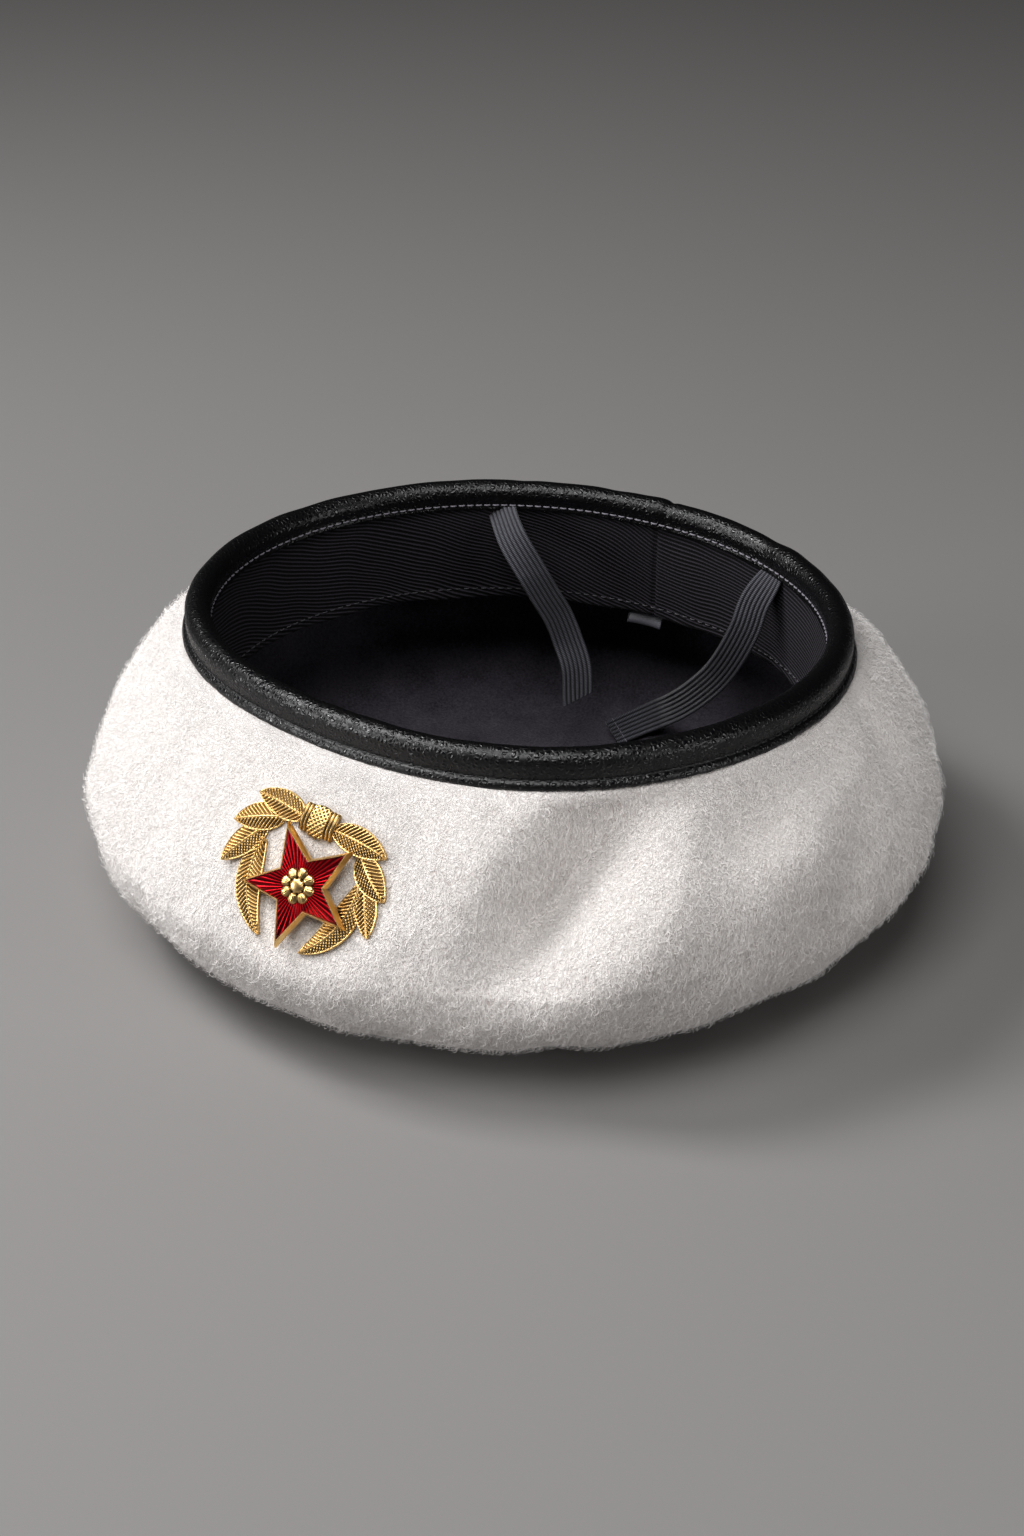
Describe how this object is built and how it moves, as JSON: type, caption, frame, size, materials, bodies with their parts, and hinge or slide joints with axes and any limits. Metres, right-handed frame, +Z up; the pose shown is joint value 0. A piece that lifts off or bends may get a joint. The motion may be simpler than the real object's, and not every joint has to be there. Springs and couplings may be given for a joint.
{
  "type": "military beret",
  "caption": "Felt beret lying upside down on its crown, with a leather-bound head opening, sweatband, loose tape ends and an enamelled star badge in a leaf wreath.",
  "frame": {"origin": "the middle of the flat crown face that the beret lies on", "axes": "+Z up out of the head opening, -Y to the front with the badge, +Y to the back seam, +X to the right of someone who faces the badge"},
  "size_m": [0.2736, 0.2676, 0.0983],
  "materials": {
    "felt": "napped wool felt",
    "leather": "semi-gloss grained",
    "twill": "matte twill",
    "lining": "matte, brushed",
    "tape": "ribbed woven tape",
    "label": "satin woven",
    "gilt_brass": "stamped and gilt",
    "enamel": "glossy translucent",
    "steel": "plain"
  },
  "bodies": {
    "root": {"felt_shell": "felt", "leather_binding": "leather", "sweatband": "twill", "crown_lining": "lining", "tape_left": "tape", "tape_right": "tape", "label_tab": "label", "badge_wreath": "gilt_brass", "badge_star": "gilt_brass", "badge_enamel": "enamel", "badge_rosette": "gilt_brass", "badge_post": "steel"}
  },
  "joints": []
}
